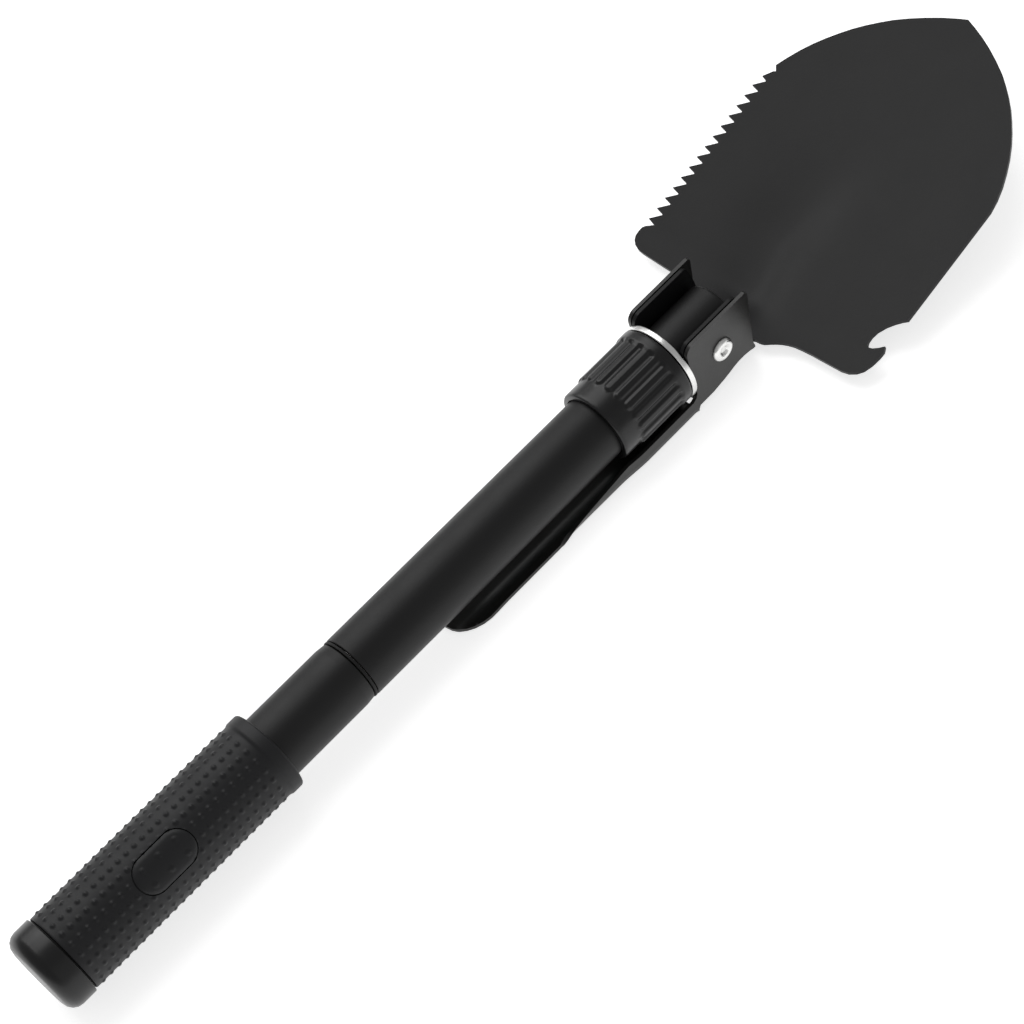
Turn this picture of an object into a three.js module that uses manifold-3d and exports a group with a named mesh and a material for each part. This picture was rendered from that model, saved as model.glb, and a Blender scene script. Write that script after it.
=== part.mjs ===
// Folding camp shovel: a dished blade with a saw edge and a bottle opener, a fold-out pick, a screw
// collar that locks both, and a two-piece handle whose butt cap covers a small compass.
// Millimetres. +X runs along the handle from the butt cap to the blade's tip, +Y points to the saw
// edge, +Z out of the blade's hollow face. z = 0 is the flat back of the folded pick.
import * as THREE from 'three';
import { mergeVertices } from 'three/addons/utils/BufferGeometryUtils.js';
import Module from 'manifold-3d';

const wasm = await Module();
wasm.setup();

// stations along the handle, measured from the rivet
const TIP = 138.9;
const BUTT = -281.5;
const WASHER_TOP = -13.9;
const WASHER_LOW = -15.9;
const COLLAR_TOP = -16.2;
const COLLAR_RIB_TOP = -20.2;
const COLLAR_RIB_LOW = -38.3;
const COLLAR_LOW = -45.5;
const TUBE_TOP = -38;
const STEP = -152.6;
const GRIP_TOP = -187.5;
const GRIP_LOW = -270.6;
const CAP_TOP = -271.6;
// radii
const TUBE_R = 11;
const THREAD_R = 10;
const COLLAR_R = 14.4;
const GRIP_R = 13.7;
const CAP_R = 14.2;
const SIDES = 36;
// head
const AXIS_HEIGHT = 17.4;      // rivet and handle axis above the pick's flat back
const SHEET = 1.2;             // blade and pick sheet
const TONGUE_HALF = 9.5;
const FLANGE_IN = 9.75;
const EAR_IN = 11.3;
const CLEAR_R = 13.5;          // swing room about the rivet, inside the washer's face
const BLADE_HALF = 50.1;
const WEB_FACE = -12.6;        // blade's web, front face
const PICK_FACE = -16.2;         // pick's web, front face
const PICK_TIP = -120.6;
const TEETH = 15;
const TOOTH_FIRST = 31.3;
const TOOTH_PITCH = 4.236;
const TOOTH_DEPTH = 3.3;
const TOOTH_LEAN = 0.9;        // each valley lies this far to the handle's side of its tooth
// grip
const STUD_ROWS = 22;
const STUDS = 25;
const STUD_PITCH = 3.18;
const STUD_HEIGHT = 0.6;
const PAD_X = -233.5;
const PAD_ANGLE = 42;          // degrees from straight up, away from the saw edge
const RIBS = 20;

function solid(geometry) {
  const bare = geometry.clone();
  bare.deleteAttribute('normal');
  bare.deleteAttribute('uv');
  const g = mergeVertices(bare, 1e-4);
  const tri = Uint32Array.from(g.index.array);
  const p = g.attributes.position.array;
  let volume = 0;
  const a = new THREE.Vector3();
  const b = new THREE.Vector3();
  const c = new THREE.Vector3();
  for (let i = 0; i < tri.length; i += 3) {
    a.fromArray(p, 3 * tri[i]);
    b.fromArray(p, 3 * tri[i + 1]);
    c.fromArray(p, 3 * tri[i + 2]);
    volume += a.dot(b.cross(c));
  }
  if (volume < 0) for (let i = 0; i < tri.length; i += 3) tri.subarray(i, i + 2).reverse();
  const keep = [];
  for (let i = 0; i < tri.length; i += 3) {
    const [u, v, w] = tri.subarray(i, i + 3);
    if (u !== v && v !== w && w !== u) keep.push(u, v, w);
  }
  return new wasm.Manifold(new wasm.Mesh({
    numProp: 3, vertProperties: Float32Array.from(p), triVerts: Uint32Array.from(keep),
  }));
}

function surfaceOf(body) {
  const mesh = body.getMesh();
  const g = new THREE.BufferGeometry();
  g.setAttribute('position', new THREE.BufferAttribute(Float32Array.from(mesh.vertProperties), 3));
  g.setIndex(new THREE.BufferAttribute(Uint32Array.from(mesh.triVerts), 1));
  g.computeVertexNormals();
  return g;
}

// a turned solid about the handle's axis, from [radius, station] pairs
function lathe(profile, sides = SIDES) {
  const points = profile.map(([r, x]) => new THREE.Vector2(r, x));
  const first = points[0];
  const last = points[points.length - 1];
  if (first.x > 0 || last.x > 0) points.push(first.clone());
  return new THREE.LatheGeometry(points, sides).rotateZ(-Math.PI / 2);
}

const turned = (profile, sides) => solid(lathe(profile, sides));

const tube = (outer, inner, low, high) => turned([
  [inner, low], [outer, low], [outer, high], [inner, high],
]);

const shape = (points) => new THREE.Shape(points.map(([x, y]) => new THREE.Vector2(x, y)));

function prism(outline, depth) {
  return new THREE.ExtrudeGeometry(outline, { depth, bevelEnabled: false, curveSegments: 10 });
}

// a plate standing in the XZ plane between two values of y
function sidePlate(outline, y0, y1) {
  return solid(prism(outline, y1 - y0).rotateX(Math.PI / 2).translate(0, y1, 0));
}

function crossPin(radius, y0, y1, sides = 24) {
  return solid(new THREE.CylinderGeometry(radius, radius, y1 - y0, sides).translate(0, (y0 + y1) / 2, 0));
}

function smooth(a, b, x) {
  const t = THREE.MathUtils.clamp((x - a) / (b - a), 0, 1);
  return t * t * (3 - 2 * t);
}

// a sheet whose front face follows face(x, y), over a rectangle
function sheet(face, x0, x1, nx, y0, y1, ny) {
  const g = new THREE.BoxGeometry(x1 - x0, y1 - y0, SHEET, nx, ny, 1);
  g.translate((x0 + x1) / 2, (y0 + y1) / 2, -SHEET / 2);
  const p = g.attributes.position;
  for (let i = 0; i < p.count; i++) p.setZ(i, p.getZ(i) + face(p.getX(i), p.getY(i)));
  return solid(g);
}

function cutTo(body, outline) {
  return body.intersect(solid(prism(outline, 80).translate(0, 0, -40)));
}

function arcPoints(radius, from, to, steps) {
  const points = [];
  for (let i = 0; i <= steps; i++) {
    const a = THREE.MathUtils.degToRad(from + (to - from) * i / steps);
    points.push([radius * Math.cos(a), radius * Math.sin(a)]);
  }
  return points;
}

// the blade's front face: flat web, then a plate that rises to the tip, dished, with a neck groove
function bladeFace(x, y) {
  const start = 23.8;
  const bend = 6;
  const d = x - start;
  const ramp = d < -bend ? 0 : d > bend ? d : (d + bend) ** 2 / (4 * bend);
  const width = 10 + 6 * smooth(28, 90, x);
  const groove = 2.3 * smooth(15.8, 29, x) * (1 - smooth(40, 98, x)) * Math.exp(-((y / width) ** 2));
  return WEB_FACE + 0.245 * ramp + 0.0007 * y * y * smooth(10, 24, x) - groove;
}

function bladeOutline() {
  const nose = [
    [86, 50.1], [90.5, 49.3], [95, 47.9], [99.5, 46], [104, 43.5], [108.3, 40.8], [111.8, 38.3],
    [115.2, 35.5], [118.4, 32.6], [121.6, 29.3], [124.6, 25.8], [127.5, 22.2], [130.3, 17.8],
    [133, 13.1], [135.5, 8.2], [137.6, 3.4],
  ];
  const points = [
    [-13.3, -10.85], [14.8, -10.85], [15, -13.8], [16.8, -15.9], [18.4, -18.7], [19.5, -21.7], [20.2, -26],
    [20.4, -42], [21.2, -45.4], [23.4, -48], [26.5, -49.3], [32, -50.1], [33.8, -49.3],
    [32.4, -47.4], [31.2, -45.4], [31.6, -43.9], [33.4, -43.2], [36.4, -43.6], [39.6, -45.2],
    [42.4, -47.7], [44.4, -50.1],
  ];
  for (const [x, y] of nose) points.push([x, -y]);
  points.push([TIP, 0]);
  for (const [x, y] of nose.slice(3).reverse()) points.push([x, y]);
  points.push([96, 47.5]);
  for (let i = TEETH - 1; i >= 0; i--) {
    const x = TOOTH_FIRST + i * TOOTH_PITCH;
    const tip = i === TEETH - 1 ? BLADE_HALF - 1 : BLADE_HALF;
    points.push([x + TOOTH_PITCH - TOOTH_LEAN, BLADE_HALF - TOOTH_DEPTH], [x, tip]);
  }
  points.push(
    [TOOTH_FIRST - TOOTH_LEAN, BLADE_HALF - TOOTH_DEPTH], [28.4, 49.7], [27, 50.1], [24.5, 50], [22.2, 48.8], [20.9, 46.6], [20.4, 43.6],
    [20.2, 26], [19.5, 21.7], [18.4, 18.7], [16.8, 15.9], [15, 13.8], [14.8, 10.85], [-13.3, 10.85],
  );
  return shape(points);
}

function blade() {
  let body = cutTo(sheet(bladeFace, -15, 142, 22, -52, 52, 14), bladeOutline());
  const flange = shape([
    [-13.3, WEB_FACE - 0.6], ...arcPoints(CLEAR_R, 180, 0, 18), [13.4, -4], [15.4, -9.5],
    [19, WEB_FACE - 0.3],
  ]);
  for (const s of [-1, 1]) {
    const [y0, y1] = s < 0 ? [-FLANGE_IN - 1.1, -FLANGE_IN] : [FLANGE_IN, FLANGE_IN + 1.1];
    body = body.add(sidePlate(flange, y0, y1));
  }
  return surfaceOf(body.subtract(crossPin(3.1, -20, 20)));
}

// the pick's front face: flat web, then a stiffening bead between gently raised sides
function pickFace(x, y) {
  const side = Math.max(Math.abs(y) - 4.2, 0);
  const rise = 0.5 * Math.min(side / 1.6, 1) + 0.1 * Math.max(side - 1.6, 0);
  return PICK_FACE + rise * smooth(-38, -50, x) * (1 - 0.5 * smooth(-102, -112, x));
}

function pick() {
  const half = EAR_IN + SHEET;
  const end = [[-106, half], [-110, 12.3], [-113.5, 11.3], [-116.5, 9.6], [-119, 7], [-120.3, 3.8]];
  const outline = shape([
    [-14.3, -half], [-14.3, half], ...end, [PICK_TIP, 0], ...end.map(([x, y]) => [x, -y]).reverse(),
  ]);
  let body = cutTo(sheet(pickFace, -122, -10, 24, -13, 13, 13), outline);
  const wall = shape([
    [-14.3, PICK_FACE - SHEET], [-14.3, -14.4], [-7, -14.3], [-4.6, -13.8], [-1.5, -13.3],
    [2.4, -12.2], [5.2, -11.8], [8, -11.9], [10.8, -12.5], [13, -12.8], [12.4, -9.5],
    [14.8, 11.8], [13.7, 13.2], ...arcPoints(CLEAR_R, 78, 180, 12),
    [-13.4, -10.2], [-46, -10.6], [-60, -13], [-77, -15.6], [-77, PICK_FACE - SHEET],
  ]);
  body = body.add(sidePlate(wall, EAR_IN, half)).add(sidePlate(wall, -half, -EAR_IN));
  return surfaceOf(body.subtract(crossPin(3.1, -20, 20)));
}

function pivotStud() {
  const bar = turned([
    [0, -62], [9.6, -62], [9.6, -37.8], [THREAD_R, -37.8], [THREAD_R, 5], [8.6, 8.2],
    [5.6, 10.2], [0, 10.9],
  ]);
  const sides = solid(new THREE.BoxGeometry(42, 30, 30).translate(7.1, TONGUE_HALF + 15, 0));
  const other = solid(new THREE.BoxGeometry(42, 30, 30).translate(7.1, -TONGUE_HALF - 15, 0));
  return surfaceOf(bar.subtract(sides).subtract(other).subtract(crossPin(3.1, -20, 20)));
}

// rivet with one formed head at each end, dimpled on the clenched side
function pivotRivet() {
  const outer = EAR_IN + SHEET + 0.25;
  return new THREE.LatheGeometry([
    [0, -outer - 1.5], [2.6, -outer - 1.3], [4.1, -outer - 0.6], [4.1, -outer], [2.85, -outer],
    [2.85, outer], [4.1, outer], [4.1, outer + 0.6], [2.6, outer + 1.3], [0, outer + 1.5],
  ].map(([r, y]) => new THREE.Vector2(r, y)), 28);
}

function ribbedOutline() {
  const points = [];
  for (let i = 0; i < RIBS; i++) {
    const a = 2 * Math.PI * i / RIBS;
    const add = (r, t) => points.push([r * Math.cos(a + t), r * Math.sin(a + t)]);
    add(13.15, 0.035);
    add(14.1, 0.09);
    add(14.1, 0.225);
    add(13.15, 0.28);
  }
  return shape(points);
}

function lockingCollar() {
  const skirt = turned([
    [11.4, COLLAR_LOW], [12.8, COLLAR_LOW], [13.25, COLLAR_LOW + 0.8], [13.25, COLLAR_RIB_TOP - 0.5],
    [COLLAR_R, COLLAR_RIB_TOP + 0.6], [COLLAR_R, COLLAR_TOP], [12.6, COLLAR_TOP],
    [12.6, -31.3], [11.4, -31.3],
  ], 60);
  const ribbed = solid(prism(ribbedOutline(), COLLAR_RIB_TOP - COLLAR_RIB_LOW)
    .rotateY(Math.PI / 2).translate(COLLAR_RIB_LOW, 0, 0));
  const bore = turned([[0, -50], [12.9, -50], [12.9, -10], [0, -10]], 60);
  return surfaceOf(skirt.add(ribbed.subtract(bore)));
}

function gripSleeve() {
  const first = -271.3 + STUD_PITCH;
  const profile = [[11.35, GRIP_LOW], [GRIP_R, GRIP_LOW]];
  for (let j = 0; j <= 2 * STUDS - 4; j++) profile.push([GRIP_R, first + (j - 1) * STUD_PITCH / 2]);
  const studEnd = profile.length;
  profile.push(
    [GRIP_R, -193], [14.15, -192], [14.15, -188.5], [13.4, GRIP_TOP], [11.35, GRIP_TOP],
    [11.35, GRIP_LOW],
  );
  const around = 2 * STUD_ROWS;
  const g = new THREE.LatheGeometry(profile.map(([r, x]) => new THREE.Vector2(r, x)), around);
  const p = g.attributes.position;
  const count = profile.length;
  for (let i = 1; i <= around; i += 2) {
    for (let j = 3; j < studEnd; j += 2) {
      const k = i * count + j;
      const grow = (GRIP_R + STUD_HEIGHT) / GRIP_R;
      p.setX(k, p.getX(k) * grow);
      p.setZ(k, p.getZ(k) * grow);
    }
  }
  g.rotateZ(-Math.PI / 2);
  const seat = padPrism(10.9, 6.4).subtract(turned([
    [0, PAD_X - 20], [12.45, PAD_X - 20], [12.45, PAD_X + 20], [0, PAD_X + 20],
  ], 60));
  return surfaceOf(solid(g).subtract(seat));
}

// a stadium-shaped prism standing out of the grip at the pad's place
function padPrism(halfLength, halfWidth) {
  const s = new THREE.Shape();
  const straight = halfLength - halfWidth + 1.6;
  const r = halfWidth;
  s.moveTo(-straight, -r);
  s.lineTo(straight, -r);
  s.bezierCurveTo(straight + r * 0.62, -r, halfLength, -r * 0.5, halfLength, 0);
  s.bezierCurveTo(halfLength, r * 0.5, straight + r * 0.62, r, straight, r);
  s.lineTo(-straight, r);
  s.bezierCurveTo(-straight - r * 0.62, r, -halfLength, r * 0.5, -halfLength, 0);
  s.bezierCurveTo(-halfLength, -r * 0.5, -straight - r * 0.62, -r, -straight, -r);
  return solid(new THREE.ExtrudeGeometry(s, { depth: 15, bevelEnabled: false, curveSegments: 6 })
    .translate(0, 0, 5).rotateX(THREE.MathUtils.degToRad(PAD_ANGLE)).translate(PAD_X, 0, 0));
}

function gripInlay() {
  const shell = turned([[12.75, PAD_X - 14], [13.9, PAD_X - 14], [13.9, PAD_X + 14], [12.75, PAD_X + 14]], 60);
  let body = shell.intersect(padPrism(10.5, 6));
  for (const dx of [-6.4, 0, 6.4]) {
    for (const dy of [-2.7, 2.7]) {
      const stud = new THREE.CylinderGeometry(0.25, 1, 1, 8).rotateX(Math.PI / 2);
      stud.translate(dx, dy, 13.75).rotateX(THREE.MathUtils.degToRad(PAD_ANGLE));
      body = body.add(solid(stud.translate(PAD_X, 0, 0)));
    }
  }
  return surfaceOf(body);
}

function compassNeedle() {
  const s = shape([[0, -6.6], [1.2, 0], [0, 6.6], [-1.2, 0]]);
  return prism(s, 0.5).rotateY(-Math.PI / 2).translate(-272, 0, 0);
}

const COATED = { color: 0x1c1c1d, roughness: 0.55, metalness: 0.25 };
const PLASTIC = { color: 0x141416, roughness: 0.4, metalness: 0 };
const STEEL = { color: 0xc9c9c6, roughness: 0.32, metalness: 1 };
const RUBBER = { color: 0x101010, roughness: 0.8, metalness: 0 };
const BRASS = { color: 0xb08d4a, roughness: 0.35, metalness: 1 };

const shovel = new THREE.Group();
shovel.position.set(-(TIP + BUTT) / 2, 0, AXIS_HEIGHT);

function add(name, geometry, look) {
  const mesh = new THREE.Mesh(geometry, new THREE.MeshStandardMaterial(look));
  mesh.name = name;
  shovel.add(mesh);
}

add('blade', blade(), { color: 0x242425, roughness: 0.6, metalness: 0.2 });
add('pick', pick(), COATED);
add('pivot_stud', pivotStud(), COATED);
add('pivot_rivet', pivotRivet(), STEEL);
add('lock_washer', surfaceOf(tube(14.55, 10.35, WASHER_LOW, WASHER_TOP)), STEEL);
add('locking_collar', lockingCollar(), PLASTIC);
add('collar_nut', surfaceOf(tube(12.3, 10.35, -31, COLLAR_TOP - 0.1)), STEEL);
add('upper_tube', surfaceOf(tube(TUBE_R, 9.9, STEP, TUBE_TOP)), COATED);
add('upper_tube_insert', surfaceOf(tube(9.6, 7, STEP + 0.3, -118)), STEEL);
add('joint_ring', surfaceOf(tube(11.15, 7, STEP - 1.2, STEP - 0.3)), PLASTIC);
add('lower_tube', surfaceOf(turned([
  [9.2, -262], [11.05, -262], [11.05, STEP - 4.5], [10.6, STEP - 1.5], [9.2, STEP - 1.5],
])), COATED);
add('joint_stud', surfaceOf(turned([
  [0, -176], [8.9, -176], [8.9, STEP - 3], [6.7, STEP - 3], [6.7, -132], [5.9, -131], [0, -131],
])), STEEL);
add('grip_sleeve', gripSleeve(), PLASTIC);
add('grip_inlay', gripInlay(), PLASTIC);
add('grip_plug', surfaceOf(turned([
  [0, -240], [0, -266], [9, -266], [9, -278.4], [10.6, -278.4], [10.6, -270.2], [11, -270.2],
  [11, -262.3], [8.9, -262.3], [8.9, -240],
].slice(1).concat([[0, -240]]))), PLASTIC);
add('cap_seal', surfaceOf(tube(13.9, 10.95, CAP_TOP + 0.25, GRIP_LOW - 0.25)), RUBBER);
add('butt_cap', surfaceOf(turned([
  [0, BUTT], [9.9, BUTT], [12, BUTT + 0.6], [13.5, BUTT + 2.1], [CAP_R, BUTT + 4.3],
  [CAP_R, CAP_TOP - 0.5], [13.8, CAP_TOP], [10.95, CAP_TOP], [10.95, -279.2], [0, -279.2],
])), PLASTIC);
add('compass_case', surfaceOf(turned([
  [0, -266.3], [8.7, -266.3], [8.7, -276], [7.9, -276], [7.9, -267.3], [0, -267.3],
])), BRASS);
add('compass_card', surfaceOf(tube(7.6, 1, -268.1, -267.6)), { color: 0xe8e6df, roughness: 0.7 });
add('compass_pivot', surfaceOf(turned([
  [0, -267.6], [0.6, -267.6], [0.6, -270.6], [0, -271.7],
], 16)), BRASS);
add('compass_needle', surfaceOf(solid(compassNeedle())), { color: 0xa33128, roughness: 0.5 });
add('compass_lens', surfaceOf(turned([
  [0, -274.6], [7.6, -274.6], [7.6, -275.6], [0, -275.6],
])), { color: 0xdfe8ea, roughness: 0.1, metalness: 0, transparent: true, opacity: 0.3 });

export default shovel;
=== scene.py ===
"""Folding camp shovel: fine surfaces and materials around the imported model.

Tool coordinates are millimetres from the rivet: x along the handle (+ to the blade's tip), y to the
saw edge, z out of the blade's hollow face. place() turns them into the frame's metres.
"""

import math

import bpy
from mathutils import Matrix, Vector
from mathutils.geometry import delaunay_2d_cdt


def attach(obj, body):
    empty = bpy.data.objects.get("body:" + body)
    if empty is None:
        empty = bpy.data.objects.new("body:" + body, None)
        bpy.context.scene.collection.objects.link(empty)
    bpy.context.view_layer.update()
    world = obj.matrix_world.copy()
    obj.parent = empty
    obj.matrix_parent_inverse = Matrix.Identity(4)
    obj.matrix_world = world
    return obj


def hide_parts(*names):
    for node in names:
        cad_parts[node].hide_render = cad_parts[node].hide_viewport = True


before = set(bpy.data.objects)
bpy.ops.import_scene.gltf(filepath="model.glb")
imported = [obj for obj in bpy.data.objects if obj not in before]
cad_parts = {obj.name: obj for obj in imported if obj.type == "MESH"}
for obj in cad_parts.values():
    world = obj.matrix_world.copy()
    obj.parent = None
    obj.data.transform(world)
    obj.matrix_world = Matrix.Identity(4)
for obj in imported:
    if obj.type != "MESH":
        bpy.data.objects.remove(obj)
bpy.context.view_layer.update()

MM = 0.001
RIVET_X = 71.3              # the rivet's place in the frame, mm
AXIS_Z = 17.4               # height of the handle's axis over the floor, mm

# Stations along the handle, mm from the rivet.
TIP, BUTT = 138.9, -281.5
WASHER_TOP, WASHER_LOW = -13.9, -15.9
COLLAR_TOP, COLLAR_LOW = -16.2, -45.5
TUBE_TOP, STEP = -38.0, -152.6
GRIP_TOP, GRIP_LOW = -187.5, -270.6
CAP_TOP = -271.6

# Radii about the handle's axis, mm.
TONGUE_R = 10.0
SHANK_R = 9.6
TUBE_R = 11.0
LOWER_R = 11.05
RING_R = 10.95
GRIP_R, GRIP_RIM_R = 13.7, 14.15
SEAL_R = 13.2
CAP_R = 14.2


def place(x, y, z):
    return Vector(((x + RIVET_X) * MM, y * MM, (z + AXIS_Z) * MM))


def smooth(a, b, x):
    """0 where x is before a, 1 where it is past b, with an even S between; a may be above b."""
    t = min(max((x - a) / (b - a), 0.0), 1.0)
    return t * t * (3 - 2 * t)


# ---------------------------------------------------------------- mesh helpers

def finish_piece(name, verts, faces, body, nodes, material, bevel=0.0, angle=35):
    """Makes the object, softens its edges and hangs it on its CAD body in place of its nodes."""
    mesh = bpy.data.meshes.new(name)
    mesh.from_pydata([tuple(v) for v in verts], [], faces)
    mesh.validate()
    mesh.polygons.foreach_set("use_smooth", [True] * len(mesh.polygons))
    mesh.set_sharp_from_angle(angle=math.radians(angle))
    piece = bpy.data.objects.new(name, mesh)
    bpy.context.scene.collection.objects.link(piece)
    mesh.materials.append(material)
    if bevel:
        edge = piece.modifiers.new("edge", "BEVEL")
        edge.width = bevel * MM
        edge.segments = 2
        edge.limit_method = "ANGLE"
        edge.angle_limit = math.radians(50)
        edge.harden_normals = True
    normals = piece.modifiers.new("normals", "WEIGHTED_NORMAL")
    normals.keep_sharp = True
    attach(piece, body)
    if nodes:
        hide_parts(*nodes)
    return piece


def fillet(profile, steps=4):
    """Rounds the corners of a closed profile of (station, radius, fillet) points."""
    out = []
    for i, (x, r, size) in enumerate(profile):
        corner = Vector((x, r))
        if size <= 0:
            out.append(corner)
            continue
        before = (Vector(profile[i - 1][:2]) - corner).normalized()
        after = (Vector(profile[(i + 1) % len(profile)][:2]) - corner).normalized()
        half = before.angle(after) / 2
        reach = size / math.tan(half)
        centre = corner + (before + after).normalized() * (size / math.sin(half))
        start = corner + before * reach - centre
        turn = start.angle_signed(corner + after * reach - centre)
        for k in range(steps + 1):
            c, s = math.cos(-turn * k / steps), math.sin(-turn * k / steps)
            out.append(centre + Vector((start.x * c - start.y * s, start.x * s + start.y * c)))
    return out


def revolve(points, segs, shape=None):
    """Verts and faces of a body turned about the handle's axis; shape may move each point."""
    verts, rings = [], []
    for station, radius, *_ in points:
        ring = []
        for k in range(segs if radius > 1e-6 else 1):
            a = 2 * math.pi * k / segs
            point = (station, radius * math.cos(a), radius * math.sin(a))
            if shape and radius > 1e-6:
                point = shape(*point, a)
            ring.append(len(verts))
            verts.append(place(*point))
        rings.append(ring)
    pairs = list(zip(rings, rings[1:]))
    if len(rings[0]) > 1 and len(rings[-1]) > 1:
        pairs.append((rings[-1], rings[0]))
    faces = []
    for a, b in pairs:
        for k in range(segs):
            j = (k + 1) % segs
            if len(a) == 1 and len(b) > 1:
                faces.append((a[0], b[j], b[k]))
            elif len(a) > 1 and len(b) == 1:
                faces.append((a[k], a[j], b[0]))
            elif len(a) > 1:
                faces.append((a[k], a[j], b[j], b[k]))
    return verts, faces


def outward(verts, faces):
    """The faces, turned over if they enclose a negative volume."""
    volume = 0.0
    for f in faces:
        for i in range(1, len(f) - 1):
            volume += verts[f[0]].dot(verts[f[i]].cross(verts[f[i + 1]]))
    return [tuple(reversed(f)) for f in faces] if volume < 0 else faces


def turned(name, profile, body, material, shape=None):
    verts, faces = revolve(fillet(profile), 128, shape)
    finish_piece(name + "_fine", verts, outward(verts, faces), body, [name], material)


def inside(point, loop):
    x, y = point
    hit = False
    for (x1, y1), (x2, y2) in zip(loop, loop[1:] + loop[:1]):
        if (y1 > y) != (y2 > y) and x < (x2 - x1) * (y - y1) / (y2 - y1) + x1:
            hit = not hit
    return hit


def resample(loop, step):
    out = []
    for a, b in zip(loop, loop[1:] + loop[:1]):
        n = max(1, math.ceil(math.dist(a, b) / step))
        out += [(a[0] + (b[0] - a[0]) * k / n, a[1] + (b[1] - a[1]) * k / n) for k in range(n)]
    return out


def flat_mesh(rims, step):
    """Points and triangles that fill the first rim, less the holes that the other rims outline."""
    def in_sheet(point):
        return inside(point, rims[0]) and not any(inside(point, hole) for hole in rims[1:])

    points, edges = [], []
    for rim in rims:
        first = len(points)
        points += [Vector(p) for p in rim]
        edges += [(first + i, first + (i + 1) % len(rim)) for i in range(len(rim))]
    near = {}
    for p in points:
        near.setdefault((round(p.x / step), round(p.y / step)), []).append(p)
    xs = [p.x for p in points]
    ys = [p.y for p in points]
    for i in range(math.floor(min(xs) / step), math.ceil(max(xs) / step) + 1):
        for j in range(math.floor(min(ys) / step), math.ceil(max(ys) / step) + 1):
            q = Vector((i * step, j * step))
            if not in_sheet(q):
                continue
            cells = [(i + di, j + dj) for di in (-1, 0, 1) for dj in (-1, 0, 1)]
            if all((p - q).length > 0.5 * step for cell in cells for p in near.get(cell, ())):
                points.append(q)
    flat, _, tris, *_ = delaunay_2d_cdt(points, edges, [], 0, 1e-5)
    middles = [sum((flat[i] for i in t), Vector((0, 0))) / len(t) for t in tris]
    return flat, [tuple(t) for t, middle in zip(tris, middles) if in_sheet(middle)]


def formed_sheet(loops, pattern_step, edge_step, form, thickness):
    """A flat pattern (outline first, then holes) bent by form(u, v) into a sheet of even thickness."""
    flat, tris = flat_mesh([resample(loop, edge_step) for loop in loops], pattern_step)
    front, back = [], []
    eps = 0.02
    for p in flat:
        here = Vector(form(p.x, p.y))
        du = Vector(form(p.x + eps, p.y)) - Vector(form(p.x - eps, p.y))
        dv = Vector(form(p.x, p.y + eps)) - Vector(form(p.x, p.y - eps))
        n = du.cross(dv).normalized() * thickness / 2
        front.append(place(*(here + n)))
        back.append(place(*(here - n)))
    count = len(flat)
    faces, rim = [], {}
    for t in tris:
        a, b, c = (flat[i] for i in t)
        if (b - a).cross(c - a) < 0:
            t = tuple(reversed(t))
        faces.append(t)
        faces.append(tuple(i + count for i in reversed(t)))
        for i in range(3):
            start, end = t[i], t[(i + 1) % 3]
            if (end, start) in rim:
                del rim[(end, start)]
            else:
                rim[(start, end)] = True
    faces += [(b, a, a + count, b + count) for a, b in rim]
    return front + back, faces


def arc(radius, start, end, steps, centre=(0, 0)):
    """Points on an arc from start to end degrees."""
    out = []
    for i in range(steps + 1):
        a = math.radians(start + (end - start) * i / steps)
        out.append((centre[0] + radius * math.cos(a), centre[1] + radius * math.sin(a)))
    return out


def mirrored(points):
    return [(x, -s) for x, s in points]


# ---------------------------------------------------------------- materials

def noise(tree, scale, detail, source):
    node = tree.nodes.new("ShaderNodeTexNoise")
    node.inputs["Scale"].default_value = scale
    node.inputs["Detail"].default_value = detail
    node.inputs["Roughness"].default_value = 0.6
    tree.links.new(source, node.inputs["Vector"])
    return node.outputs["Fac"]


def material(name, colour, rough, metal=0.0, grain=0.0, grain_scale=900.0, vary=0.15,
             rough_vary=0.06, blotch_scale=18.0, spec=0.5, brushed=None):
    """Principled surface with a fine grain bump, slow colour variation and uneven gloss."""
    look = bpy.data.materials.new(name)
    look.use_nodes = True
    tree = look.node_tree
    bsdf = tree.nodes["Principled BSDF"]
    bsdf.inputs["Metallic"].default_value = metal
    bsdf.inputs["Specular IOR Level"].default_value = spec
    coord = tree.nodes.new("ShaderNodeTexCoord").outputs["Object"]

    shade = tree.nodes.new("ShaderNodeValToRGB")
    dark, light = shade.color_ramp.elements
    dark.position, light.position = 0.3, 0.7
    dark.color = (*[c * (1 - vary) for c in colour], 1)
    light.color = (*[c * (1 + vary) for c in colour], 1)
    tree.links.new(noise(tree, blotch_scale, 4, coord), shade.inputs["Fac"])
    tree.links.new(shade.outputs["Color"], bsdf.inputs["Base Color"])

    gloss = tree.nodes.new("ShaderNodeMapRange")
    gloss.inputs["From Min"].default_value = 0.3
    gloss.inputs["From Max"].default_value = 0.7
    gloss.inputs["To Min"].default_value = rough - rough_vary
    gloss.inputs["To Max"].default_value = rough + rough_vary
    tree.links.new(noise(tree, blotch_scale * 5, 5, coord), gloss.inputs["Value"])
    tree.links.new(gloss.outputs["Result"], bsdf.inputs["Roughness"])

    if grain:
        mapping = tree.nodes.new("ShaderNodeMapping")
        if brushed:
            mapping.inputs["Scale"].default_value = brushed
        tree.links.new(coord, mapping.inputs["Vector"])
        bump = tree.nodes.new("ShaderNodeBump")
        bump.inputs["Strength"].default_value = grain
        bump.inputs["Distance"].default_value = 0.0001
        tree.links.new(noise(tree, grain_scale, 3, mapping.outputs["Vector"]), bump.inputs["Height"])
        tree.links.new(bump.outputs["Normal"], bsdf.inputs["Normal"])
    return look


LATHE_GRAIN = (6, 0.6, 0.6)  # stretches the grain round the handle, as a lathe tool leaves it

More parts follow.
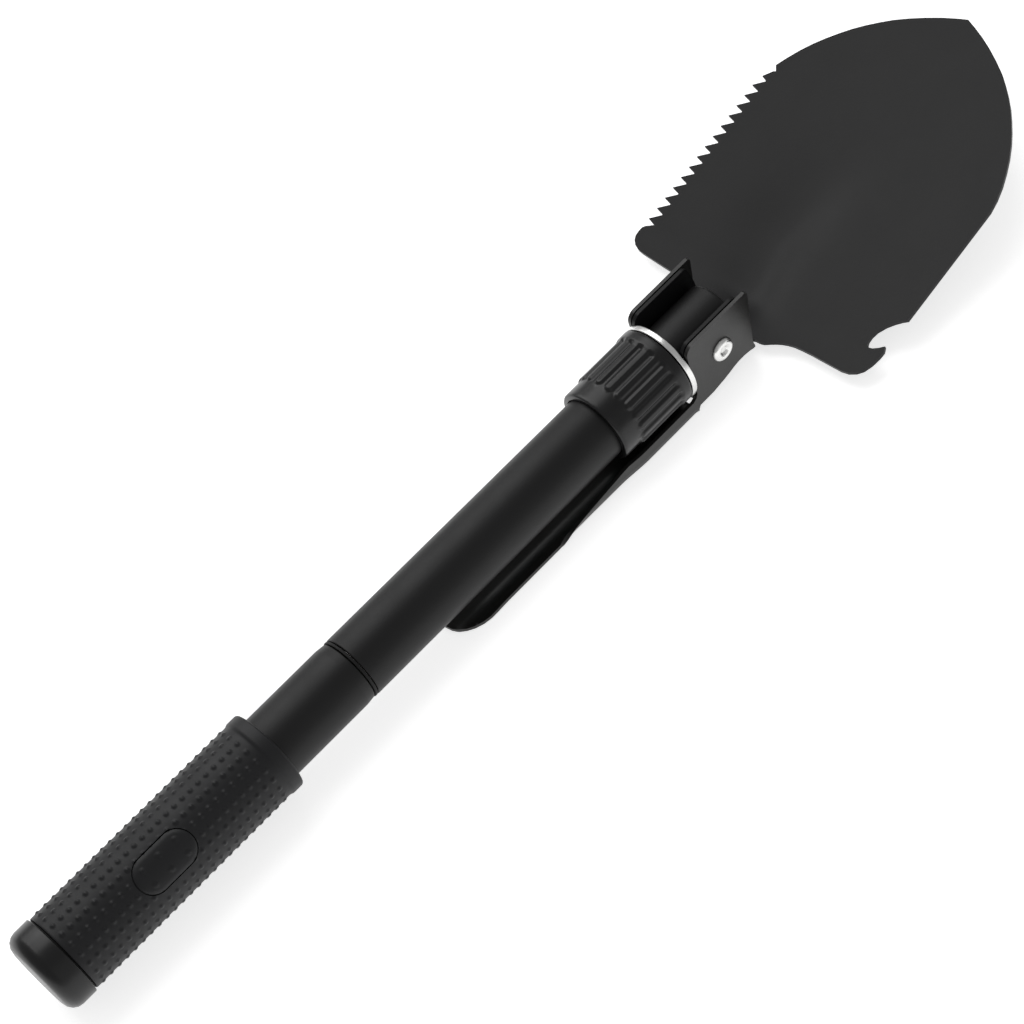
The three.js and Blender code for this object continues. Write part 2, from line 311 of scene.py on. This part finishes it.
COAT_BLADE = material("blade_coat_black", (0.0100, 0.0100, 0.0104), 0.34, grain=0.30,
                      grain_scale=1600, vary=0.05, rough_vary=0.02, blotch_scale=14, spec=0.14)
COAT = material("powder_coat_black", (0.0070, 0.0070, 0.0072), 0.46, grain=0.30, grain_scale=1300,
                vary=0.08, rough_vary=0.03, spec=0.28)
# The pick's coat is a black coat like the tubes', but its base is set lighter and a little warmer as
# painted light. The lift stands in for fill light in the pick's channel, which lies in the handle's
# shadow, and the warmth for the warm bounce on the ears' outer faces.
COAT_PICK_PAINTED_LIGHT = material("pick_coat_painted_light", (0.0104, 0.0102, 0.0096), 0.36, grain=0.22,
                        grain_scale=1100, vary=0.08, rough_vary=0.03, spec=0.44)
STEEL = material("zinc_steel", (0.78, 0.78, 0.77), 0.28, metal=1.0, grain=0.2, grain_scale=700,
                 vary=0.05)
TURNED = material("turned_steel", (0.60, 0.60, 0.59), 0.32, metal=1.0, grain=0.3,
                  grain_scale=500, brushed=LATHE_GRAIN, vary=0.06)
COLLAR = material("collar_plastic_black", (0.0050, 0.0050, 0.0053), 0.30, grain=0.10,
                  grain_scale=700, vary=0.08, rough_vary=0.03, spec=0.36)
GRIP = material("grip_plastic_black", (0.0056, 0.0058, 0.0068), 0.50, grain=0.20,
                grain_scale=1000, vary=0.08, rough_vary=0.04, spec=0.34)
RUBBER = material("seal_rubber_black", (0.004, 0.004, 0.004), 0.62, grain=0.3, grain_scale=900,
                  spec=0.3)
BRASS = material("brass_turned", (0.62, 0.44, 0.18), 0.30, metal=1.0, grain=0.2,
                 grain_scale=600, brushed=LATHE_GRAIN)
CARD = material("dial_card", (0.78, 0.77, 0.72), 0.6, grain=0.2, grain_scale=2500, vary=0.03)
NEEDLE = material("needle_enamel", (0.45, 0.03, 0.025), 0.3, grain=0.1, vary=0.05)
LENS = material("clear_lens", (0.95, 0.97, 0.97), 0.05, grain=0.02, vary=0.01, rough_vary=0.02)
LENS.node_tree.nodes["Principled BSDF"].inputs["Transmission Weight"].default_value = 0.95
LENS.node_tree.nodes["Principled BSDF"].inputs["IOR"].default_value = 1.49

# ---------------------------------------------------------------- camera

camera = bpy.data.objects.new("camera", bpy.data.cameras.new("camera"))
bpy.context.scene.collection.objects.link(camera)
camera.data.lens = 94.75
camera.data.sensor_width = 36
camera.data.clip_start = 0.01
camera.data.clip_end = 20
right = Vector((0.681935, -0.694924, -0.228134))
forward = Vector((0.280067, 0.536231, -0.796253))
turn = Matrix((right, right.cross(forward), -forward)).transposed().to_4x4()
camera.matrix_world = Matrix.Translation(place(-313.81, -441.43, 654.44)) @ turn
bpy.context.scene.camera = camera

# ---------------------------------------------------------------- pressed sheet

SHEET = 1.2                 # thickness of blade and pick
RIVET_HOLE = 3.1
CORNER = 3.5                # radius of the flanges' and ears' corners at the collar
CORNER_AT = (-10.1, 9.7)


def u_section(s, flat, radius):
    """(y, rise) along a sheet that is flat, then bends up by a quarter turn, then stands."""
    a, side = abs(s), math.copysign(1.0, s)
    quarter = radius * math.pi / 2
    if a <= flat:
        return s, 0.0
    if a <= flat + quarter:
        t = (a - flat) / radius
        return side * (flat + radius * math.sin(t)), radius * (1 - math.cos(t))
    return side * (flat + radius), radius + a - flat - quarter


def rivet_holes(height):
    """One hole on each side of a pattern, where its sides stand at the rivet."""
    hole = arc(RIVET_HOLE, 0, 345, 23, (0, height))
    return [mirrored(hole), hole]


# ---------------------------------------------------------------- blade

WEB_MID = -13.2             # the web between the flanges, middle of the sheet
FLANGE_Y = 10.3
FLANGE_BEND = 1.6
FLANGE_FLAT = FLANGE_Y - FLANGE_BEND
FLANGE_RUNOUT = (13.4, 14.5)
NECK_X, NECK_HALF = 23.8, 6.0    # where the web turns up into the blade
BLADE_RISE = 0.245
DISH = 0.0007
GROOVE_DEPTH = 2.1
BLADE_HALF = 50.1           # half the blade's width
SAW_TEETH, SAW_PITCH, SAW_START = 15, 4.236, 31.3
SAW_DEPTH, SAW_LEAN = 3.3, 0.9
NOSE_SKIP = 3               # the saw side takes up the nose's curve three points nearer the tip


def blade_height(x, y):
    """Middle surface: flat at the rivet, then rising and dished, with a groove that fades out."""
    past = x - NECK_X
    if past < -NECK_HALF:
        ramp = 0
    elif past > NECK_HALF:
        ramp = past
    else:
        ramp = (past + NECK_HALF) ** 2 / (4 * NECK_HALF)
    off = y - 3 * smooth(18, 30, x) - 4 * smooth(28, 50, x)
    width = (14 if off > 0 else 8) + 6 * smooth(28, 90, x)
    depth = GROOVE_DEPTH * smooth(15.8, 29, x) * (1 - smooth(42, 100, x))
    dish = DISH * y * y * smooth(10, 24, x)
    return WEB_MID + BLADE_RISE * ramp + dish - depth * math.exp(-((off / width) ** 2))


def blade_form(x, s):
    curl = 1 - smooth(*FLANGE_RUNOUT, x)
    y, rise = u_section(s, FLANGE_FLAT, FLANGE_BEND)
    y = s + (y - s) * curl
    return x, y, blade_height(x, y) + rise * curl


def saw_edge():
    """Teeth from the nose back to the neck, each leaning towards the neck."""
    root = BLADE_HALF - SAW_DEPTH
    teeth = []
    for i in reversed(range(SAW_TEETH)):
        x = SAW_START + i * SAW_PITCH
        tip = BLADE_HALF - (1 if i == SAW_TEETH - 1 else 0)
        back = x + SAW_PITCH - SAW_LEAN
        teeth += [(back + 0.25, tip - SAW_DEPTH + 0.25), (back - 0.1, root), (x, tip)]
    return teeth + [(SAW_START - SAW_LEAN, root + 0.1)]


def blade_pattern():
    top = FLANGE_FLAT + FLANGE_BEND * math.pi / 2 - WEB_MID - FLANGE_BEND
    nose = [(86, BLADE_HALF), (90.5, 49.3), (95, 47.9), (99.5, 46), (104.1, 43.7), (108.4, 41.1),
            (111.9, 38.6), (115.4, 35.8), (118.7, 32.9), (121.9, 29.6), (124.9, 26.1),
            (127.8, 22.4), (130.6, 18.0), (133.3, 13.2), (135.7, 8.3), (137.7, 3.4)]
    flange = [(-13.3, WEB_MID + FLANGE_BEND), (-13.6, -8.2)] + arc(CORNER, 180, 90, 8, CORNER_AT)
    flange += [(9.9, 13.2), (10.6, 12.9), (11.1, 12.2), (12.8, 5), (13.3, 0), (13.3, -5), (13.2, -9.5)]
    relief = [(13.4, 11.0), (13.7, 9.9), (14.4, 9.9), (14.8, 11.0)]
    shoulder = [(14.95, 12.8), (15.4, 14.1), (16.7, 15.8), (17.7, 17.3), (18.5, 18.8), (19.2, 20.6),
                (19.8, 23), (20.1, 26)]
    neck = [(x, z + top) for x, z in flange] + relief + shoulder
    opener = [(20.3, 30), (20.4, 42), (20.9, 44.6), (22.2, 46.9), (24.0, 48.4), (26.8, 49.4),
              (30, 50.0), (32.2, 50.1), (33.9, 49.2), (32.6, 47.7), (31.5, 46.0), (31.2, 44.8),
              (31.7, 43.8), (32.8, 43.3), (34.6, 43.2), (36.8, 43.7), (39.4, 45.1),
              (41.6, 46.9), (43.2, 48.6), (44.3, BLADE_HALF)]
    saw_corner = [(28.6, 49.3), (27.6, 50.0), (26, BLADE_HALF), (24.2, 49.9), (22.6, 49.0),
                  (21.4, 47.6), (20.6, 45.6), (20.4, 43.4), (20.3, 30)]
    opener_side = mirrored(neck + opener + nose)
    saw_side = nose[:NOSE_SKIP - 1:-1] + [(96, 47.5)] + saw_edge() + saw_corner + neck[::-1]
    return [opener_side + [(TIP, 0)] + saw_side] + rivet_holes(top)


verts, faces = formed_sheet(blade_pattern(), 2.0, 1.0, blade_form, SHEET)
finish_piece("blade_fine", verts, faces, "blade_body", ["blade"], COAT_BLADE,
             bevel=0.28, angle=40)

# ---------------------------------------------------------------- pick

PICK_MID = -16.8            # the pick's web, middle of the sheet
PICK_Y = 12.05
PICK_BEND = 1.2
WALL_HEIGHT = 6.0
WALL_RUNOUT, WALL_RUN = -46, 32  # where the walls start to fall, and over what length


def pick_wall(x):
    """Height of the side wall, the angle its bend reaches and the web's flat half-width."""
    height = WALL_HEIGHT * (1 - min(max((WALL_RUNOUT - x) / WALL_RUN, 0), 1))
    angle = math.acos(max(1 - height / PICK_BEND, 0))
    half = PICK_Y - 0.55 * smooth(-46, -66, x) * (1 - smooth(-70, -79, x))
    return height, angle, half - PICK_BEND * math.sin(angle)


def pick_form(x, s):
    """Square channel; beyond the collar its web carries a sunk bead between raised sides."""
    y, rise = u_section(s, pick_wall(x)[2], PICK_BEND)
    raised = smooth(-38, -50, x) * (1 - 0.5 * smooth(-102, -112, x))
    lift = 0.8 * smooth(5.6, 7.8, abs(y)) + 0.07 * max(abs(y) - 7.8, 0)
    return x, y, PICK_MID + rise + lift * raised


def pick_edge(x):
    """Half-width of the flat pattern where the wall runs out towards the gouge end."""
    height, angle, flat = pick_wall(x)
    return flat + PICK_BEND * angle + max(height - PICK_BEND, 0)


def pick_pattern():
    top = PICK_Y - PICK_BEND + PICK_BEND * math.pi / 2 - PICK_MID - PICK_BEND
    ear = [(-13.6, -14.25), (-7.2, -14.2), (-4.8, -13.8), (-2.3, -13.45), (0.4, -12.9), (2.6, -12.3),
           (5.2, -11.85), (8, -11.85), (10.5, -12.25), (12.2, -12.75), (13.0, -12.7), (12.9, -11.8),
           (12.45, -9.5), (14.75, 11.6), (14.6, 12.5), (13.9, 13.2)]
    ear += arc(CORNER, 90, 180, 8, CORNER_AT) + [(-13.6, -8.2), (-14.4, -9.8), (-16, -10.7)]
    half = [(-14.4, 10.4), (-14.4, 13.0)] + [(x, z + top) for x, z in ear]
    half += [(x, pick_edge(x)) for x in range(-46, -108, -1)]
    half += [(-109.5, 11.95), (-112.5, 11.4), (-115.3, 10.3), (-117.5, 8.8), (-119.2, 6.8),
             (-120.2, 4.6), (-120.6, 2.2)]
    return [half + [(-120.7, 0)] + mirrored(half[::-1])] + rivet_holes(top)


# The pick wears the black coat whose lighter, warmer base is painted light.
verts, faces = formed_sheet(pick_pattern(), 1.6, 1.0, pick_form, SHEET)
finish_piece("pick_fine", verts, faces, "pick_body", ["pick"], COAT_PICK_PAINTED_LIGHT,
             bevel=0.3, angle=40)

# ---------------------------------------------------------------- pivot and washer

TONGUE_END, TONGUE_FLAT = 10.8, 9.5
SHANK_TOP, SHANK_LOW = -37.8, -62
RIVET_R = 2.85
RIVET_SEGS = 64


def tongue_flats(x, y, z, a):
    return (x, max(-TONGUE_FLAT, min(TONGUE_FLAT, y)), z) if x > -13.8 else (x, y, z)


def rivet_mesh():
    """Pin along y with a rolled head on the opener side and a domed one on the saw side."""
    rolled = [(0, -13.15), (1.1, -13.15), (1.5, -13.5), (1.9, -13.95), (2.5, -14.15), (3.2, -14.05),
              (3.8, -13.7), (4.1, -13.2), (4.15, -12.75)]
    domed = [(4.15, 12.75), (4.1, 13.1), (3.5, 13.6), (2.4, 14.0), (1.2, 14.2), (0, 14.25)]
    profile = rolled + [(RIVET_R, -12.7), (RIVET_R, 12.7)] + domed
    verts, faces, start = [], [], 0
    for r, y in profile:
        for k in range(RIVET_SEGS if r else 1):
            a = 2 * math.pi * k / RIVET_SEGS
            verts.append(place(r * math.cos(a), y, r * math.sin(a)))
    for (r1, _), (r2, _) in zip(profile, profile[1:]):
        n1 = RIVET_SEGS if r1 else 1
        n2 = RIVET_SEGS if r2 else 1
        for k in range(RIVET_SEGS):
            j = (k + 1) % RIVET_SEGS
            face = [start + k % n1, start + j % n1, start + n1 + j % n2, start + n1 + k % n2]
            faces.append(tuple(dict.fromkeys(face)))
        start += n1
    return verts, outward(verts, faces)


turned("pivot_stud", [(SHANK_LOW, 0, 0), (SHANK_LOW, SHANK_R, 0.6), (SHANK_TOP, SHANK_R, 0),
                      (SHANK_TOP, TONGUE_R, 0), (-13.9, TONGUE_R, 0), (-13.7, TONGUE_R, 0),
                      (TONGUE_END, TONGUE_R, 1.3), (TONGUE_END, 0, 0)],
       "handle", COAT, tongue_flats)

verts, faces = rivet_mesh()
finish_piece("pivot_rivet_fine", verts, faces, "handle", ["pivot_rivet"], STEEL)

turned("lock_washer", [(WASHER_LOW, 10.35, 0.2), (WASHER_LOW, 14.55, 0.4), (WASHER_TOP, 14.55, 0.4),
                       (WASHER_TOP, 10.35, 0.2)], "washer", STEEL)

# ---------------------------------------------------------------- locking collar

RIBS = 20
RIB_PITCH = 2 * math.pi / RIBS
RIB_WIDTH = 1.45            # half the width of a rib
RIB_LOW = -38.4             # where the ribs end on the skirt
SKIRT_R, RIB_R, RIM_R = 13.3, 14.0, 14.4
COLLAR_SEGS = RIBS * 20


def collar_radius(x, a):
    """Outer radius of the collar: low ribs that run out of the rim and end round on the skirt."""
    rim = smooth(-21.0, -19.2, x)
    off = abs((a % RIB_PITCH) - RIB_PITCH / 2) * RIB_R
    past = max(RIB_LOW + RIB_WIDTH - x, 0)
    rib = 1 - smooth(-0.8, 0.55, math.hypot(off, past) - RIB_WIDTH)
    r = SKIRT_R + (RIB_R - SKIRT_R) * rib
    return r + (RIM_R - r) * rim


def collar_points():
    """Section of the collar; its skirt is cut finely where collar_shape raises the ribs."""
    points = [(COLLAR_LOW, 11.4), (COLLAR_LOW, 12.7), (COLLAR_LOW + 0.15, 13.0),
              (COLLAR_LOW + 0.5, 13.25)]
    x = COLLAR_LOW + 1.2
    while x < -17.2:
        points.append((x, SKIRT_R))
        x += 0.8 if x < RIB_LOW - 1 else 0.26
    return points + [(-16.7, 14.4), (-16.4, 14.32), (-16.25, 14.1), (COLLAR_TOP, 13.8),
                     (COLLAR_TOP, 12.6), (-31.3, 12.6), (-31.3, 11.4)]


def collar_shape(x, y, z, a):
    if math.isclose(math.hypot(y, z), SKIRT_R, abs_tol=1e-6):
        grow = collar_radius(x, a) / SKIRT_R
        return x, y * grow, z * grow
    return x, y, z


verts, faces = revolve(collar_points(), COLLAR_SEGS, collar_shape)
finish_piece("locking_collar_fine", verts, outward(verts, faces), "collar", ["locking_collar"],
             COLLAR, angle=60)

# ---------------------------------------------------------------- tubes

turned("upper_tube", [(STEP, 9.9, 0.15), (STEP, TUBE_R, 0.35), (TUBE_TOP, TUBE_R, 0.35),
                      (TUBE_TOP, 9.9, 0.15)],
       "handle", COAT)
turned("lower_tube", [(-262, 9.2, 0), (-262, LOWER_R, 0.3), (STEP - 4.6, LOWER_R, 3.0),
                      (STEP - 1.5, 10.7, 0.3), (STEP - 1.5, 9.2, 0.1)],
       "lower_handle", COAT)
turned("joint_ring", [(STEP - 1.2, 7, 0), (STEP - 1.2, RING_R, 0.2), (STEP - 0.3, RING_R, 0.2),
                      (STEP - 0.3, 7, 0)], "ring", RUBBER)

# ---------------------------------------------------------------- grip

STUD_ROWS, STUD_PITCH = 22, 3.18
STUD_HEIGHT, STUD_R = 0.46, 1.05
FIRST_STUD = -271.3 + STUD_PITCH / 2
STUDS_END = -193.2
GRIP_BORE = 11.35
GRIP_SEGS = STUD_ROWS * 12


def stud_rise(x, a):
    """How far the grip's surface stands out at station x and angle a."""
    if x < GRIP_LOW + 0.4 or x > STUDS_END:
        return 0.0
    along = ((x - FIRST_STUD) % STUD_PITCH) - STUD_PITCH / 2
    step = 2 * math.pi / STUD_ROWS
    across = ((a % step) - step / 2) * 13.5
    return STUD_HEIGHT * (1 - smooth(0.0, STUD_R, math.hypot(along, across * 0.92)))


def grip_shape(x, y, z, a):
    r = math.hypot(y, z)
    if r < 13.3:
        return x, y, z
    grow = (r + stud_rise(x, a)) / r
    return x, y * grow, z * grow


def grip_points():
    """Section of the grip, cut finely along the studs, with a rounded rim at the top."""
    points = [(GRIP_LOW - 0.2, GRIP_BORE), (GRIP_LOW - 0.2, 13.5), (GRIP_LOW, 13.67)]
    x = GRIP_LOW + 0.5
    while x < -192.6:
        points.append((x, GRIP_R))
        x += STUD_PITCH / 10
    return points + [(-192.4, 13.75), (-192.0, 13.9), (-191.6, 14.1), (-191.0, GRIP_RIM_R),
                     (-188.3, GRIP_RIM_R), (-187.9, 14.05), (-187.65, 13.85), (GRIP_TOP, 13.4),
                     (GRIP_TOP, 11.6), (GRIP_TOP, GRIP_BORE)]


# ---------------------------------------------------------------- pad let into the grip

PAD_X, PAD_ANGLE = -233.5, math.radians(132)
PAD_STRAIGHT = 5.0          # half the length of the pad's straight sides
PAD_HALF = (10.5, 5.95)
SEAT_HALF = (10.9, 6.35)


def stadium(half_x, half_y):
    out = []
    for side, first in ((1, -90), (-1, 90)):
        for i in range(15):
            a = math.radians(first + 180 * i / 14)
            out.append((side * PAD_STRAIGHT + (half_x - PAD_STRAIGHT) * math.cos(a),
                        half_y * math.sin(a)))
    return out


def pad_point(x, s, r):
    """A point over the grip at station PAD_X + x, s mm round from the pad's middle, at radius r."""
    a = PAD_ANGLE + s / 13.6
    return PAD_X + x, r * math.cos(a), r * math.sin(a)


def seat_cutter(low, high):
    """A plug from radius low to high, for cutting the pad's seat."""
    ring = stadium(*SEAT_HALF)
    n = len(ring)
    verts = [place(*pad_point(x, s, r)) for r in (low, high) for x, s in ring]
    verts += [place(*pad_point(0, 0, low)), place(*pad_point(0, 0, high))]
    faces = []
    for i in range(n):
        j = (i + 1) % n
        faces += [(i, j, n + j, n + i), (j, i, 2 * n), (n + i, n + j, 2 * n + 1)]
    mesh = bpy.data.meshes.new("seat_cutter")
    mesh.from_pydata([tuple(p) for p in verts], [], outward(verts, faces))
    cutter = bpy.data.objects.new("seat_cutter", mesh)
    bpy.context.scene.collection.objects.link(cutter)
    return cutter


def pad_form(x, s):
    """Softly edged pad with six small studs."""
    edge = min(1.0, math.hypot(max(abs(x) - PAD_STRAIGHT, 0) / 5.6, s / 6.0))
    r = 13.6 - 0.35 * smooth(0.82, 1.0, edge)
    for dx in (-6.4, 0, 6.4):
        for ds in (-2.7, 2.7):
            r += 0.5 * (1 - smooth(0.1, 1.0, math.hypot(x - dx, s - ds)))
    return pad_point(x, -s, r)


verts, faces = revolve(grip_points(), GRIP_SEGS, grip_shape)
grip = finish_piece("grip_sleeve_fine", verts, outward(verts, faces), "lower_handle",
                    ["grip_sleeve"], GRIP, angle=70)
cutter = seat_cutter(12.4, 18)
seat = grip.modifiers.new("seat", "BOOLEAN")
seat.operation = "DIFFERENCE"
seat.object = cutter
seat.solver = "EXACT"
grip.modifiers.move(len(grip.modifiers) - 1, 0)
with bpy.context.temp_override(object=grip, active_object=grip, selected_objects=[grip]):
    bpy.ops.object.modifier_apply(modifier="seat")
bpy.data.objects.remove(cutter)

verts, faces = formed_sheet([stadium(*PAD_HALF)], 0.5, 0.5, pad_form, 0.9)
finish_piece("grip_inlay_fine", verts, outward(verts, faces), "lower_handle", ["grip_inlay"], GRIP,
             angle=60)

# ---------------------------------------------------------------- butt

BUTT_BORE = 10.95
CAP_END = BUTT + 0.8

turned("cap_seal", [(CAP_TOP + 0.4, BUTT_BORE, 0), (CAP_TOP + 0.4, SEAL_R, 0.1),
                    (GRIP_LOW - 0.3, SEAL_R, 0.1), (GRIP_LOW - 0.3, BUTT_BORE, 0)],
       "seal", RUBBER)
turned("butt_cap", [(CAP_END, 0, 0), (CAP_END, CAP_R, 4.2), (CAP_TOP + 0.3, CAP_R, 0.3),
                    (CAP_TOP + 0.3, BUTT_BORE, 0.1), (-279.2, BUTT_BORE, 0.3), (-279.2, 0, 0)],
       "cap", COLLAR)

# ---------------------------------------------------------------- CAD pieces kept as they are

for node, look in {
    "collar_nut": TURNED, "upper_tube_insert": TURNED, "joint_stud": TURNED, "grip_plug": COLLAR,
    "compass_case": BRASS, "compass_card": CARD, "compass_pivot": BRASS, "compass_needle": NEEDLE,
    "compass_lens": LENS,
}.items():
    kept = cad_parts[node].data
    kept.materials.clear()
    kept.materials.append(look)

# ---------------------------------------------------------------- stage and light

FLOOR_HALF, FLOOR_Z = 6.0, -0.0002   # metres

floor_mesh = bpy.data.meshes.new("floor")
corners = [(-1, -1), (1, -1), (1, 1), (-1, 1)]
floor_mesh.from_pydata([(x * FLOOR_HALF, y * FLOOR_HALF, FLOOR_Z) for x, y in corners], [],
                       [(0, 1, 2, 3)])
floor = bpy.data.objects.new("floor", floor_mesh)
bpy.context.scene.collection.objects.link(floor)
pale = material("pale_floor", (0.80, 0.80, 0.80), 0.9, vary=0.005, spec=0.1)
pale.node_tree.nodes["Principled BSDF"].inputs["Emission Color"].default_value = (1, 1, 1, 1)
pale.node_tree.nodes["Principled BSDF"].inputs["Emission Strength"].default_value = 0.7
floor_mesh.materials.append(pale)


def softbox(name, place_at, size, watts):
    """A square lamp that faces the middle of the frame; metres and watts."""
    data = bpy.data.lights.new(name, "AREA")
    data.shape = "SQUARE"
    data.size = size
    data.energy = watts
    lamp = bpy.data.objects.new(name, data)
    bpy.context.scene.collection.objects.link(lamp)
    lamp.location = place_at
    lamp.rotation_euler = (-Vector(place_at)).to_track_quat("-Z", "Y").to_euler()


softbox("key", (0.25, 0.70, 1.42), 1.2, 10)
softbox("side", (0.12, 1.5, 1.05), 1.0, 5)
softbox("fill", (-0.1, -1.5, 0.7), 1.3, 1.0)

world = bpy.data.worlds.new("studio")
bpy.context.scene.world = world
world.use_nodes = True
world.node_tree.nodes["Background"].inputs["Color"].default_value = (1, 1, 1, 1)
world.node_tree.nodes["Background"].inputs["Strength"].default_value = 0.36
bpy.context.scene.view_settings.view_transform = "Standard"
